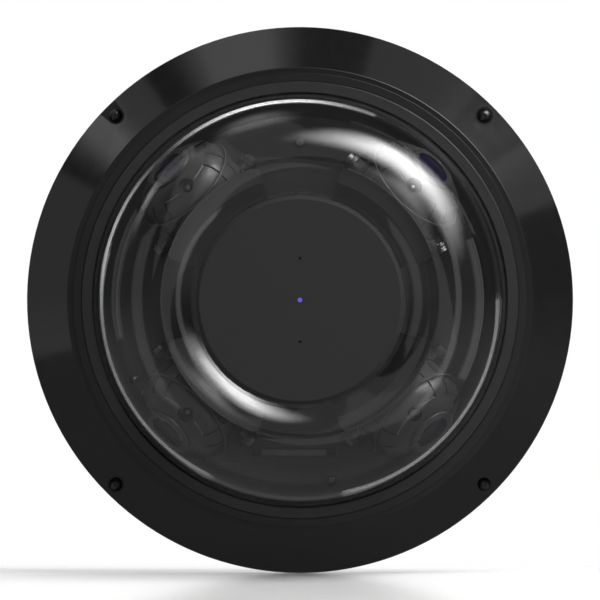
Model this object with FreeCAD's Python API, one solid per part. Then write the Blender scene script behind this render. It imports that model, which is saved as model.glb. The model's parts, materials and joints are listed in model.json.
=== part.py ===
import FreeCAD, Part
import math
import os

# Multi-sensor dome camera, in millimetres.
# Every piece is drawn in a drawing frame: Z runs from the wall towards the viewer along the camera's axis,
# X points right and Y points up as seen from the front. The finished solids are then stood up against the
# wall, so that the dome looks along -Y and the mounting face lies in the plane Y = 0.

# General fits
gap = 0.3
running_fit = 0.08
slip_fit = 0.05

# How far cutting tools pass the faces they cut, and how far joined pieces reach into each other
beyond = 1.0

# Cover ring
cone_edge = 1.2
cone_rise = 21.3
cone_run = 18.0
cone_wall = 3.9
cover_lip = 0.5
cover_round = 0.4
foot_round = 0.6
groove_width = 1.7
groove_depth = 1.6
step_ring_width = 3.6
step_ring_drop = 0.7
step_ring_round = 0.25
ledge_width = 7.3
ledge_thickness = 3.0
bore_wall = 3.0
cover_flange_width = 12.0
cover_flange_thickness = 2.5
cover_web = 2.9

# Cover screws, each in a round recess in the cone
cover_screw_count = 4
cover_screw_inset = 5.5
screw_recess_radius = 3.85
screw_recess_floor = 1.5
screw_column_radius = 5.2
screw_head_radius = 3.0
screw_head_edge = 1.2
screw_head_height = 2.9
screw_socket_radius = 1.1
screw_socket_depth = 1.3
screw_shank_radius = 2.0
screw_length = 16.0
notch_flare = 0.6

# Base housing
housing_depth = 36.0
housing_setback = 1.5
housing_draft = 2.5
housing_wall = 3.0
foot_width = 8.0
foot_edge = 1.0
rear_recess = 3.0
floor_thickness = 3.0
rim_thickness = 3.5
rim_inset = 11.0
rim_slope = 2.5
boss_radius = 5.0
rib_count = 12
rib_width = 2.4
rib_inner_radius = 34.0
entry_radius = 13.5
entry_depth_from_wall = 18.0
entry_pad_radius = 15.2

# Mounting plate
plate_side_gap = 4.0
plate_thickness = 2.0
plate_hole_radius = 24.0
wall_hole_circle = 75.0
wall_hole_radius = 2.75
wall_hole_count = 4
wall_sink_radius = 4.0
wall_sink_start = 0.8
lightening_count = 4
lightening_circle = 62.0
lightening_radius = 11.0
plate_screw_margin = 14.0
plate_screw_count = 3
plate_screw_head_radius = 3.6
plate_screw_head_height = 2.4
plate_screw_radius = 2.0
plate_screw_inset = 0.2

# Grommet at the cable entry
grommet_radius = 14.0
grommet_lip = 2.5
grommet_lip_thickness = 1.2
grommet_cone = 5.0
grommet_shoulder_radius = 12.0
grommet_tip_radius = 8.0

# Gaskets
gasket_width = 2.4
gasket_height = 1.5
gasket_inset = 0.9
dome_gasket_inset = 0.8
dome_gasket_height = 1.0

# Deck and the T-shaped pan track on it
deck_thickness = 3.0
deck_margin = 7.0
deck_opening_inset = 8.0
track_stem_offset = 4.8
track_stem_width = 8.0
track_stem_height = 2.0
track_lip_overhang = 2.5
track_lip_height = 1.6
deck_post_inset = 15.0
deck_post_angles = (25.8, 99.7, 205.8, 279.7)
deck_post_radius = 4.0
deck_post_clearance = 1.0
deck_screw_head_radius = 1.9
deck_screw_head_edge = 0.3
deck_screw_head_height = 1.2
deck_screw_radius = 1.25
deck_screw_length = 9.0
deck_screw_recess_radius = 3.0
deck_screw_recess = 1.0
deck_pad_radius = 4.2
step_line_y = -73.4
step_drop = 1.5
pocket_left_x = -38.0
pocket_right_x = -17.7
pocket_top_y = -77.0
pocket_drop = 0.7
pocket_corner = 2.0
slot_left_x = -21.5
slot_right_x = 16.1
slot_top_y = -65.7
slot_height = 3.5
connector_margin = 4.5
connector_drop = 0.4

# Hub post
hub_side_clearance = 3.5
hub_wall = 2.5
hub_flange_width = 2.0
hub_flange_thickness = 2.5
hub_foot_inset = 1.0
hub_lip_width = 5.5
hub_lip_thickness = 1.5
hub_shelf_depth = 4.8
hub_shelf_thickness = 2.5
hub_shelf_width = 7.0
hub_shelf_taper = 3.0
hub_window_width = 18.0
hub_window_height = 26.0
hub_window_sill = 9.0

# Camera module: pivot place, tilt at rest and swing
module_angles = (45.0, 135.0, 225.0, 315.0)
module_places = ("upper_right", "upper_left", "lower_left", "lower_right")
pivot_circle = 58.8
pivot_height = 31.0
rest_tilt = 64.0

# Front half of a module, measured along the lens axis from the pivot
rim_radius = 23.7
rim_back = 13.0
rim_height = 1.2
shell_wall = 1.6
rim_band = 0.8
rim_groove_depth = 0.6
panel_start_inset = 1.4
panel_end_inset = 5.2
panel_end_rise = 6.9
panel_bulge = 0.9
panel_step = 0.4
nose_bulge = 0.38
nose_width = 0.5
nose_rise = 10.2
seam_angles = (40.0, 63.0, 140.0, 163.0)
seam_width = 0.9
seam_depth = 0.9
recess_radius = 3.6
recess_depth = 3.8
recess_floor = 1.2
recess_place_inset = 1.1
recess_place_rise = 0.3
recess_slant = 45.0
recess_tool_height = 4.0
spigot_depth = 2.5
lock_screw_radius = 1.1
lock_head_radius = 2.1
lock_head_edge = 0.4
lock_head_height = 1.4

# Rear half of a module
rear_inset = 1.4
rear_neck_depth = 1.3
rear_collar_lip = 0.6
rear_collar_width = 1.2
rear_collar_bevel = 1.3
rear_seam_start = 2.0
rear_back_radius = 13.0
rear_back = 8.0
rear_cable_radius = 4.0
boss_ring_inner = 8.5
boss_ring_outer = 10.5

# Lens
lens_ring_margin = 0.7
lens_ring_stand = 1.6
lens_ring_lip = 1.5
lens_ring_edge = 0.6
lens_ring_dish = 0.3
barrel_wall = 2.75
lens_shelf = 1.0
lens_glass_radius = 8.0
lens_glass_edge = 2.0
lens_glass_crown = 0.9
lens_inset = 1.0
sensor_board_back = 2.8
sensor_board_thickness = 1.2
sensor_board_side = 22.0

# Cradle and pivots
cradle_half_width = 2.7
cradle_wall = 1.7
cradle_opening = 60.0
cradle_boss_radius = 4.0
cradle_side_clearance = 1.7
pin_radius = 2.0
pin_inner_clearance = 1.2
arm_thickness = 1.9
arm_foot_back = 5.6
arm_foot_front = 3.0
arm_eye_radius = 4.4
washer_radius = 3.6
washer_thickness = 0.6
pin_neck_radius = 2.6
pin_neck_length = 0.2
pin_head_radius = 3.2
pin_head_thickness = 0.9

# Carriage
carriage_half_angle = 27.5
carriage_back_offset = 19.3
carriage_wall = 1.5
carriage_base_thickness = 1.8
carriage_base_reach = 9.2
hook_thickness = 1.4
channel_wall = 2.5
hood_roof_width = 7.0
hood_slope = 1.13
hood_rise = 0.8
hood_clearance = 2.2
hood_corner = 3.0
cheek_angle = 1.5
cheek_bottom = 9.0

# Dome
dome_wall = 2.2
dome_side_clearance = 1.372
dome_crest_offset = 2.2
dome_clearance = 3.4
dome_straight = 1.0
dish_width = 14.8
dish_slope = 42.0
dome_pocket_depth = 8.0
dome_tip_radius = 25.5
dome_hole_inset = 6.0
dome_fit = 0.6
dome_flange_width = 5.6
dome_flange_thickness = 2.5

# Dome bezel
bezel_inner_gap = 0.4
bezel_height = 4.2
bezel_chamfer = 0.9
bezel_edge = 0.4

# Centre cap and what stands behind it
cap_side_gap = 0.5
cap_thickness = 3.0
cap_chamfer = 1.7
cap_chamfer_drop = 0.9
cap_round = 0.3
cap_spigot_wall = 2.0
mic_offset = 18.2
mic_hole_radius = 0.55
mic_radius = 2.0
mic_height = 1.4
light_radius = 1.0
light_foot_radius = 2.4
light_foot_height = 1.5
front_board_thickness = 1.6

# Boards and connectors in the housing
main_board_radius = 72.0
main_board_height = 16.0
main_board_thickness = 1.6
standoff_inset = 8.0
standoff_radius = 3.2
standoff_count = 4
jack_width = 16.0
jack_length = 21.0
jack_height = 13.5
jack_port_width = 12.0
jack_port_height = 7.4
jack_port_depth = 14.0
jack_place_y = 34.0
card_width = 15.0
card_length = 16.0
card_height = 2.2
card_back_wall = 3.0
card_side_wall = 1.5
card_floor = 0.6
card_roof = 0.5
card_inset = 10.0
switch_side = 6.0
switch_height = 3.5
switch_inset = 2.0
plunger_radius = 1.75
plunger_depth = 1.5
plunger_travel = 0.5
plunger_recess = 1.0
plunger_access_radius = 3.0

# Side entry plug
plug_radius = 12.0
plug_thread_radius = 10.5
plug_head_thickness = 3.0
plug_slot_width = 2.4
plug_slot_depth = 1.6

# Module sizes that follow from its rim and its lens
rim_front = rim_back + rim_height
swing_radius = math.hypot(rim_radius, rim_front)
panel_start_radius = rim_radius - panel_start_inset
panel_end_radius = rim_radius - panel_end_inset
panel_end_height = rim_front + panel_end_rise
nose_height = rim_front + nose_rise
recess_place_radius = panel_end_radius - recess_place_inset
recess_place_height = panel_end_height + recess_place_rise
rear_radius = rim_radius - rear_inset
rear_neck_radius = rear_radius - rear_neck_depth
rear_collar_radius = rear_neck_radius + rear_collar_lip
cradle_boss_reach = rim_radius + cradle_side_clearance
pin_inner_end = rear_neck_radius + pin_inner_clearance
barrel_radius = lens_glass_radius + slip_fit + barrel_wall
lens_ring_radius = barrel_radius + lens_ring_margin
nose_radius = lens_ring_radius + nose_width
lens_ring_front = nose_height + lens_ring_stand

# Radii that follow from the circle of the pivots, from the hub outwards
carriage_inner_radius = pivot_circle - carriage_back_offset
hub_radius = carriage_inner_radius - hub_side_clearance
hub_flange_radius = hub_radius + hub_flange_width
deck_opening_radius = hub_radius - deck_opening_inset
dome_hole_radius = hub_radius - dome_hole_inset
track_stem_outer = pivot_circle - track_stem_offset
track_stem_inner = track_stem_outer - track_stem_width
arm_foot_inner = pivot_circle - arm_foot_back
arm_foot_outer = pivot_circle + arm_foot_front
carriage_base_radius = pivot_circle + carriage_base_reach
dome_crest_radius = pivot_circle + dome_crest_offset
dome_pocket_radius = dome_crest_radius - dish_width
dish_radius = dish_width / math.sin(math.radians(dish_slope))
cap_radius = dome_pocket_radius - cap_side_gap
hood_edge_radius = dome_crest_radius
hood_knee_radius = hood_edge_radius - hood_roof_width
dome_radius = pivot_circle + swing_radius + dome_side_clearance + dome_wall
deck_radius = dome_radius + deck_margin
deck_post_circle = deck_radius - deck_post_inset
bore_radius = dome_radius + dome_flange_width + dome_fit
groove_inner = bore_radius + step_ring_width
groove_outer = groove_inner + groove_width
cone_top_radius = groove_outer + cover_lip
cover_radius = cone_top_radius + cone_run
cover_screw_circle = cover_radius - cover_screw_inset
housing_radius = cover_radius - housing_setback
housing_back_radius = housing_radius - housing_draft
plate_radius = housing_back_radius - foot_width - plate_side_gap
plate_screw_circle = plate_radius - plate_screw_margin
gasket_radius = cover_radius - cover_flange_width + gasket_width / 2 + gasket_inset
standoff_circle = main_board_radius - standoff_inset
card_place_x = main_board_radius - card_inset - card_length
switch_place_y = main_board_radius - switch_inset

# Places along the axis that follow from the sizes above
deck_front = housing_depth
deck_back = deck_front - deck_thickness
cone_foot = housing_depth + cone_edge
cone_top = cone_foot + cone_rise
step_ring_front = cone_top - step_ring_drop
bezel_front = step_ring_front + bezel_edge
bezel_back = bezel_front - bezel_height
dome_flange_back = bezel_back - dome_flange_thickness
ledge_front = dome_flange_back - dome_gasket_height
ledge_back = ledge_front - ledge_thickness
pivot_z = deck_front + pivot_height
hood_edge_z = pivot_z + swing_radius + hood_clearance + carriage_wall
dome_crest_z = hood_edge_z + dome_clearance + dome_wall
dome_spring_z = pivot_z + dome_straight
dome_pocket_z = dome_crest_z - dome_pocket_depth
dome_pocket_back = dome_pocket_z - dome_wall
cap_front = dome_pocket_z + cap_thickness
board_back = rear_recess + floor_thickness + main_board_height
board_front = board_back + main_board_thickness


def point(radius, height):
    """A point of a profile, which lies in the XZ plane."""
    return FreeCAD.Vector(radius, 0, height)


def line(start, end):
    """A straight profile edge between two (radius, height) pairs."""
    return Part.LineSegment(point(*start), point(*end)).toShape()


def arc(start, middle, end):
    """A round profile edge through three (radius, height) pairs."""
    return Part.Arc(point(*start), point(*middle), point(*end)).toShape()


def domed_edge(radius, low, high):
    """A round profile edge over a domed top, from its rim at the low height to the axis."""
    rise = high - low
    sphere = (radius ** 2 + rise ** 2) / (2 * rise)
    half = 0.5 * math.asin(radius / sphere)
    middle = (sphere * math.sin(half), high - sphere * (1 - math.cos(half)))
    return arc((radius, low), middle, (0, high))


def round_edge(centre, radius, start, end):
    """A round profile edge about a centre, from one direction to another."""
    middle = (start + end).normalize()
    spots = [centre + direction * radius for direction in (start, middle, end)]
    return Part.Arc(*spots).toShape()


def oval_quarter(centre, radial, axial, tip, depth):
    """A quarter of an oval from its crest to its side, or a parallel one at a depth below it.

    It has two arcs that meet smoothly. The tighter one, at the longer half axis, has the tip radius.
    """
    origin = point(*centre)
    along, across, long, short = point(0, 1), point(1, 0), axial, radial
    if radial > axial:
        along, across, long, short = across, along, short, long
    broad = (long ** 2 - 2 * long * tip + short ** 2) / (2 * (short - tip))
    tip_centre = origin + along * (long - tip)
    broad_centre = origin + across * (short - broad)
    join = (tip_centre - broad_centre).normalize()
    return [
        round_edge(tip_centre, tip - depth, along, join),
        round_edge(broad_centre, broad - depth, join, across),
    ]


def polyline(*corners):
    """Straight edges from corner to corner, not closed."""
    return [line(a, b) for a, b in zip(corners[:-1], corners[1:])]


def face_of(edges):
    """The flat face inside a closed run of edges."""
    ordered = Part.sortEdges(edges)[0]
    return Part.Face(Part.Wire(ordered))


def spin(edges, angle=360.0, start=0.0):
    """The solid that a closed profile sweeps about the Z axis."""
    axis = FreeCAD.Vector(0, 0, 1)
    face = face_of(edges)
    face.rotate(point(0, 0), axis, start)
    solid = face.revolve(point(0, 0), axis, angle)
    if solid.Volume < 0:
        solid.reverse()
    return solid


def spun_polygon(corners, angle=360.0, start=0.0):
    """The solid that a closed polygon sweeps about the Z axis."""
    return spin(polyline(*corners, corners[0]), angle, start)


def rod(radius, low, high, x=0.0, y=0.0):
    """A cylinder along Z between two heights."""
    return Part.makeCylinder(radius, high - low, FreeCAD.Vector(x, y, low))


def tube(outer, inner, low, high):
    """A ring along Z between two heights."""
    return rod(outer, low, high).cut(rod(inner, low, high))


def block(x0, x1, y0, y1, z0, z1):
    """A box between two corners."""
    return Part.makeBox(x1 - x0, y1 - y0, z1 - z0, FreeCAD.Vector(x0, y0, z0))


def turned(shape, degrees):
    """A copy of a shape turned about the camera's axis."""
    copy = shape.copy()
    copy.rotate(FreeCAD.Vector(0, 0, 0), FreeCAD.Vector(0, 0, 1), degrees)
    return copy


def around(shape, count, first=0.0):
    """Evenly spaced copies of a shape about the camera's axis."""
    return [turned(shape, first + 360.0 * i / count) for i in range(count)]


def joined(shapes):
    """One solid from shapes that touch or overlap."""
    return shapes[0].fuse(shapes[1:]).removeSplitter()


def rounded(shape, size, *circles):
    """A shape with its round edges at the given radii and heights rounded off."""
    edges = []
    for radius, height in circles:
        for edge in shape.Edges:
            box = edge.BoundBox
            level = abs(box.ZMin - height) + abs(box.ZMax - height) < slip_fit
            if level and abs(box.XMax - radius) < slip_fit:
                edges.append(edge)
    return shape.makeFillet(size, edges)


def domed_screw(head_radius, head_edge, head_height, shank_radius, length):
    """A screw whose domed head stands on the plane z = 0."""
    profile = [domed_edge(head_radius, head_edge, head_height)]
    profile += polyline(
        (0, head_height),
        (0, -length),
        (shank_radius, -length),
        (shank_radius, 0),
        (head_radius, 0),
        (head_radius, head_edge),
    )
    return spin(profile)


def polar(radius, degrees):
    """X and Y of a place given by its radius and angle."""
    return radius * math.cos(math.radians(degrees)), radius * math.sin(math.radians(degrees))


def cone_radius_at(height):
    """Radius of the cover's cone at a height."""
    return cover_radius - (height - cone_foot) * cone_run / cone_rise


def housing_radius_at(height):
    """Outer radius of the drafted housing wall at a height."""
    return housing_back_radius + housing_draft * height / housing_depth


def notch_prism():
    """The opening from a screw recess to the outer edge, flared a little."""
    inner_y = screw_recess_radius
    outer_y = screw_recess_radius + notch_flare
    reach = cover_radius + beyond
    floor = housing_depth + screw_recess_floor
    corners = [
        FreeCAD.Vector(cover_screw_circle, -inner_y, floor),
        FreeCAD.Vector(reach, -outer_y, floor),
        FreeCAD.Vector(reach, outer_y, floor),
        FreeCAD.Vector(cover_screw_circle, inner_y, floor),
    ]
    outline = Part.makePolygon(corners + corners[:1])
    return Part.Face(outline).extrude(FreeCAD.Vector(0, 0, cone_rise))


def cover_ring():
    """Die-cast cover: cone outside, stepped bore inside, hollow from behind."""
    flange_inner = cover_radius - cover_flange_width
    flange_front = housing_depth + cover_flange_thickness
    tube_radius = bore_radius + bore_wall
    hollow_top = cone_top - groove_depth - cover_web
    body = spun_polygon([
        (cover_radius, housing_depth),
        (cover_radius, cone_foot),
        (cone_top_radius, cone_top),
        (groove_outer, cone_top),
        (groove_outer, cone_top - groove_depth),
        (groove_inner, cone_top - groove_depth),
        (groove_inner, step_ring_front),
        (bore_radius, step_ring_front),
        (bore_radius, ledge_front),
        (bore_radius - ledge_width, ledge_front),
        (bore_radius - ledge_width, ledge_back),
        (tube_radius, ledge_back),
        (tube_radius, hollow_top),
        (cone_radius_at(hollow_top) - cone_wall, hollow_top),
        (cone_radius_at(flange_front) - cone_wall, flange_front),
        (flange_inner, flange_front),
        (flange_inner, housing_depth),
    ])
    body = rounded(body, cover_round, (cone_top_radius, cone_top))
    body = rounded(body, foot_round, (cover_radius, cone_foot))
    body = rounded(body, step_ring_round, (groove_inner, step_ring_front))
    envelope = spun_polygon([
        (0, housing_depth),
        (cover_radius, housing_depth),
        (cover_radius, cone_foot),
        (cone_top_radius, cone_top),
        (0, cone_top),
    ])
    column = rod(screw_column_radius, housing_depth, cone_top, cover_screw_circle)
    columns = [c.common(envelope) for c in around(column, cover_screw_count, module_angles[0])]
    body = joined([body] + columns)
    floor = housing_depth + screw_recess_floor
    recess = rod(screw_recess_radius, floor, cone_top + beyond, cover_screw_circle)
    hole_radius = screw_shank_radius + slip_fit
    hole = rod(hole_radius, housing_depth - beyond, floor + beyond, cover_screw_circle)
    cuts = around(recess, cover_screw_count, module_angles[0])
    cuts += around(hole, cover_screw_count, module_angles[0])
    cuts.append(turned(notch_prism(), module_angles[1]))
    return body.cut(cuts)


def cover_screws():
    """Security screws with a domed head and a small round socket."""
    screw = domed_screw(
        screw_head_radius, screw_head_edge, screw_head_height, screw_shank_radius, screw_length
    )
    socket_floor = screw_head_height - screw_socket_depth
    screw = screw.cut(rod(screw_socket_radius, socket_floor, screw_head_height + beyond))
    screw.translate(FreeCAD.Vector(cover_screw_circle, 0, housing_depth + screw_recess_floor))
    return Part.makeCompound(around(screw, cover_screw_count, module_angles[0]))


def entry_tool(radius, start, end):
    """A cylinder through the upper side wall, where the side entry is."""
    return Part.makeCylinder(
        radius, end - start, FreeCAD.Vector(0, start, entry_depth_from_wall), FreeCAD.Vector(0, 1, 0)
    )


def base_housing():
    """Die-cast bowl with drafted wall, gasket rim, screw bosses, posts and rear ribs."""
    floor_front = rear_recess + floor_thickness
    rim_inner = housing_radius - rim_inset
    rim_back_z = housing_depth - rim_thickness
    inner_low = housing_radius_at(floor_front) - housing_wall
    inner_high = housing_radius_at(rim_back_z - rim_slope) - housing_wall
    groove_in = gasket_radius - gasket_width / 2 - slip_fit
    groove_out = gasket_radius + gasket_width / 2 + slip_fit
    body = spun_polygon([
        (housing_radius, housing_depth),
        (housing_back_radius, foot_edge),
        (housing_back_radius - foot_edge, 0),
        (housing_back_radius - foot_width, 0),
        (housing_back_radius - foot_width, rear_recess),
        (grommet_radius + slip_fit, rear_recess),
        (grommet_radius + slip_fit, floor_front),
        (inner_low, floor_front),
        (inner_high, rim_back_z - rim_slope),
        (rim_inner, rim_back_z),
        (rim_inner, housing_depth),
        (groove_in, housing_depth),
        (groove_in, housing_depth - gasket_height),
        (groove_out, housing_depth - gasket_height),
        (groove_out, housing_depth),
    ])
    envelope = spun_polygon([
        (0, foot_edge),
        (housing_back_radius, foot_edge),
        (housing_radius, housing_depth),
        (0, housing_depth),
    ])
    plate_hole = rod(plate_screw_radius + slip_fit, 0, floor_front + beyond, plate_screw_circle)
    body = body.cut(around(plate_hole, plate_screw_count, 90.0))
    boss = rod(boss_radius, floor_front - beyond, rim_back_z + beyond, cover_screw_circle)
    bosses = [b.common(envelope) for b in around(boss, cover_screw_count, module_angles[0])]
    body = joined([body] + bosses)
    posts = []
    for angle in deck_post_angles:
        x, y = polar(deck_post_circle, angle)
        posts.append(rod(deck_post_radius, floor_front - beyond, deck_back, x, y))
    body = joined([body] + posts)
    standoff = rod(standoff_radius, floor_front - beyond, board_back, standoff_circle)
    body = joined([body] + around(standoff, standoff_count, module_angles[0]))
    rib_outer = housing_back_radius - foot_width + beyond
    half = rib_width / 2
    rib = block(rib_inner_radius, rib_outer, -half, half, plate_thickness, rear_recess + beyond)
    body = joined([body] + around(rib, rib_count, 0.5 * 360.0 / rib_count))
    pad_start = housing_radius_at(entry_depth_from_wall) - housing_wall - plug_head_thickness
    pad = entry_tool(entry_pad_radius, pad_start, housing_radius + beyond)
    body = joined([body, pad.common(envelope)])
    thread_radius = screw_shank_radius + slip_fit
    thread_end = housing_depth + screw_recess_floor - screw_length - beyond
    thread = rod(thread_radius, thread_end, housing_depth + beyond, cover_screw_circle)
    cuts = around(thread, cover_screw_count, module_angles[0])
    post_thread_radius = deck_screw_radius + slip_fit
    post_thread_end = deck_front - deck_screw_recess - deck_screw_length - beyond
    for angle in deck_post_angles:
        x, y = polar(deck_post_circle, angle)
        cuts.append(rod(post_thread_radius, post_thread_end, deck_back + beyond, x, y))
    outside = housing_radius + beyond
    cuts.append(entry_tool(plug_thread_radius + slip_fit, pad_start - beyond, outside))
    cuts.append(entry_tool(plug_radius + gap, plug_face_y() - plug_head_thickness, outside))
    return body.cut(cuts)


def plug_face_y():
    """Where the outer face of the side entry plug lies, just inside the drafted wall."""
    return math.sqrt(housing_radius_at(entry_depth_from_wall - entry_radius) ** 2 - entry_radius ** 2)


def entry_plug():
    """Round plug of the side entry with a coin slot."""
    face = plug_face_y()
    pad_start = housing_radius_at(entry_depth_from_wall) - housing_wall - plug_head_thickness
    head = entry_tool(plug_radius, face - plug_head_thickness, face)
    thread = entry_tool(plug_thread_radius, pad_start - beyond, face - plug_head_thickness)
    slot_y = (face - plug_slot_depth, face + beyond)
    half = plug_slot_width / 2
    slot = block(
        -plug_radius, plug_radius, *slot_y, entry_depth_from_wall - half, entry_depth_from_wall + half
    )
    return joined([head, thread]).cut(slot)


def mounting_plate():
    """Steel disc with a cable hole, wall screw holes, threaded holes and lightening holes."""
    plate = tube(plate_radius, plate_hole_radius, 0, plate_thickness)
    low = -beyond
    high = plate_thickness + beyond
    wall_hole = rod(wall_hole_radius, low, high, wall_hole_circle)
    threaded = rod(plate_screw_radius + slip_fit, low, high, plate_screw_circle)
    lightening = rod(lightening_radius, low, high, lightening_circle)
    sink = Part.makeCone(
        wall_hole_radius, wall_sink_radius, plate_thickness - wall_sink_start,
        FreeCAD.Vector(wall_hole_circle, 0, wall_sink_start)
    )
    cuts = around(wall_hole, wall_hole_count)
    cuts += around(sink, wall_hole_count)
    cuts += around(threaded, plate_screw_count, 90.0)
    cuts += around(lightening, lightening_count, module_angles[0])
    return plate.cut(cuts)


def plate_screws():
    """Screws from inside the housing into the mounting plate."""
    floor_front = rear_recess + floor_thickness
    head_top = floor_front + plate_screw_head_height
    shank = rod(plate_screw_radius, plate_screw_inset, floor_front, plate_screw_circle)
    head = rod(plate_screw_head_radius, floor_front, head_top, plate_screw_circle)
    screw = joined([shank, head])
    return Part.makeCompound(around(screw, plate_screw_count, 90.0))


def rear_grommet():
    """Rubber plug with a membrane cone, which the cable pierces when the camera is fitted."""
    floor_front = rear_recess + floor_thickness
    return spun_polygon([
        (0, rear_recess),
        (grommet_radius, rear_recess),
        (grommet_radius, floor_front),
        (grommet_radius + grommet_lip, floor_front),
        (grommet_radius + grommet_lip, floor_front + grommet_lip_thickness),
        (grommet_shoulder_radius, floor_front + grommet_lip_thickness),
        (grommet_tip_radius, floor_front + grommet_cone),
        (0, floor_front + grommet_cone),
    ])


def cover_gasket():
    """Rubber ring in the groove of the housing rim."""
    half = gasket_width / 2
    return tube(gasket_radius + half, gasket_radius - half, housing_depth - gasket_height, housing_depth)


def dome_gasket():
    """Rubber ring between the cover's ledge and the dome's flange."""
    outer = dome_radius + dome_flange_width
    inner = bore_radius - ledge_width + dome_gasket_inset
    return tube(outer, inner, ledge_front, ledge_front + dome_gasket_height)


def deck_outline():
    """The flat disc with the track, before its cut-outs."""
    disc = tube(deck_radius, deck_opening_radius, deck_back, deck_front)
    stem_top = deck_front + track_stem_height
    lip_top = stem_top + track_lip_height
    track = spun_polygon([
        (track_stem_inner, deck_front - beyond),
        (track_stem_outer, deck_front - beyond),
        (track_stem_outer, stem_top),
        (track_stem_outer + track_lip_overhang, stem_top),
        (track_stem_outer + track_lip_overhang, lip_top),
        (track_stem_inner - track_lip_overhang, lip_top),
        (track_stem_inner - track_lip_overhang, stem_top),
        (track_stem_inner, stem_top),
    ])
    return joined([disc, track])


def deck():
    """Plate that carries the modules, with the step, pocket, slot, screw seats and button hole."""
    body = deck_outline()
    top = deck_front + beyond
    bottom = deck_back - beyond
    low_floor = deck_front - step_drop
    low = block(-deck_radius, deck_radius, -deck_radius, step_line_y, low_floor, top)
    pocket_floor = low_floor - pocket_drop
    pocket = block(pocket_left_x, pocket_right_x, -deck_radius, pocket_top_y, pocket_floor, top)
    corners = []
    for edge in pocket.Edges:
        box = edge.BoundBox
        if box.ZLength > 0.5 * (top - pocket_floor) and box.YMin > pocket_top_y - gap:
            corners.append(edge)
    pocket = pocket.makeFillet(pocket_corner, corners)
    slot = block(slot_left_x, slot_right_x, slot_top_y - slot_height, slot_top_y, bottom, top)
    body = body.cut([low, pocket, slot])
    pads = []
    seats = []
    for angle in deck_post_angles:
        x, y = polar(deck_post_circle, angle)
        pads.append(rod(deck_pad_radius, deck_back, deck_front, x, y))
        seats.append(rod(deck_screw_recess_radius, deck_front - deck_screw_recess, top, x, y))
        seats.append(rod(deck_screw_radius + slip_fit, bottom, top, x, y))
    seats.append(rod(plunger_access_radius, bottom, top, 0, switch_place_y))
    return joined([body] + pads).cut(seats)


def deck_screws():
    """Small pan-head screws that hold the deck to the housing posts."""
    seat = deck_front - deck_screw_recess
    screw = domed_screw(
        deck_screw_head_radius, deck_screw_head_edge, deck_screw_head_height,
        deck_screw_radius, deck_screw_length
    )
    screws = []
    for angle in deck_post_angles:
        copy = screw.copy()
        copy.translate(FreeCAD.Vector(*polar(deck_post_circle, angle), seat))
        screws.append(copy)
    return Part.makeCompound(screws)


def deck_connector():
    """Connector block that shows in the deck's slot, standing on the main board."""
    low = slot_top_y - slot_height + gap
    high = slot_top_y - gap
    left = slot_left_x + connector_margin
    right = slot_right_x - connector_margin
    return block(left, right, low, high, board_front, deck_front - connector_drop)


def hub_post():
    """Hollow post from the deck to the dome's centre, with cable windows and a board shelf."""
    top = dome_pocket_back
    shelf_top = top - hub_shelf_depth
    inner = hub_radius - hub_wall
    shelf_inner = inner - hub_shelf_width
    shelf_back = shelf_top - hub_shelf_thickness
    foot_inner = deck_opening_radius + hub_foot_inset
    lip_inner = inner - hub_lip_width
    body = spun_polygon([
        (foot_inner, deck_front),
        (hub_flange_radius, deck_front),
        (hub_flange_radius, deck_front + hub_flange_thickness),
        (hub_radius, deck_front + hub_flange_thickness),
        (hub_radius, top - hub_flange_thickness),
        (hub_flange_radius, top - hub_flange_thickness),
        (hub_flange_radius, top),
        (lip_inner, top),
        (lip_inner, top - hub_lip_thickness),
        (inner, top - hub_lip_thickness),
        (inner, shelf_top),
        (shelf_inner, shelf_top),
        (shelf_inner, shelf_back),
        (inner, shelf_back - hub_shelf_taper),
        (inner, deck_front + hub_flange_thickness),
        (foot_inner, deck_front + hub_flange_thickness),
    ])
    sill = deck_front + hub_window_sill
    half = hub_window_width / 2
    spring = sill + hub_window_height - half
    start = inner - 2 * beyond
    end = hub_radius + 2 * beyond
    window = block(start, end, -half, half, sill, spring)
    arch_centre = FreeCAD.Vector(start, 0, spring)
    arch = Part.makeCylinder(half, end - start, arch_centre, FreeCAD.Vector(1, 0, 0))
    cuts = around(window, len(module_angles), module_angles[0])
    cuts += around(arch, len(module_angles), module_angles[0])
    return body.cut(cuts)


def front_board_front():
    """Front face of the small board behind the cap."""
    return dome_pocket_back - hub_shelf_depth + front_board_thickness


def front_board():
    """Small round board for the light and the microphones."""
    inner = hub_radius - hub_wall - gap
    return rod(inner, dome_pocket_back - hub_shelf_depth, front_board_front())


def microphones():
    """Two microphone cans in line with the holes of the cap."""
    low = front_board_front()
    cans = [rod(mic_radius, low, low + mic_height, 0, side * mic_offset) for side in (1, -1)]
    return Part.makeCompound(cans)


def light_pipe():
    """Clear rod that brings the status light to the front of the cap."""
    low = front_board_front()
    foot = rod(light_foot_radius, low, low + light_foot_height)
    stem = rod(light_radius, low, cap_front)
    return joined([foot, stem])


def centre_cap():
    """Matte disc with a chamfered edge, a locating ring and the microphone and light holes."""
    spigot_outer = dome_hole_radius - gap
    spigot_inner = spigot_outer - cap_spigot_wall
    body = spun_polygon([
        (0, cap_front),
        (cap_radius - cap_chamfer, cap_front),
        (cap_radius, cap_front - cap_chamfer_drop),
        (cap_radius, dome_pocket_z),
        (spigot_outer, dome_pocket_z),
        (spigot_outer, dome_pocket_back),
        (spigot_inner, dome_pocket_back),
        (spigot_inner, dome_pocket_z),
        (0, dome_pocket_z),
    ])
    body = rounded(body, cap_round, (cap_radius, cap_front - cap_chamfer_drop))
    low = dome_pocket_z - beyond
    high = cap_front + beyond
    cuts = [rod(mic_hole_radius, low, high, 0, side * mic_offset) for side in (1, -1)]
    cuts.append(rod(light_radius + slip_fit, low, high))
    return body.cut(cuts)


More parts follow.
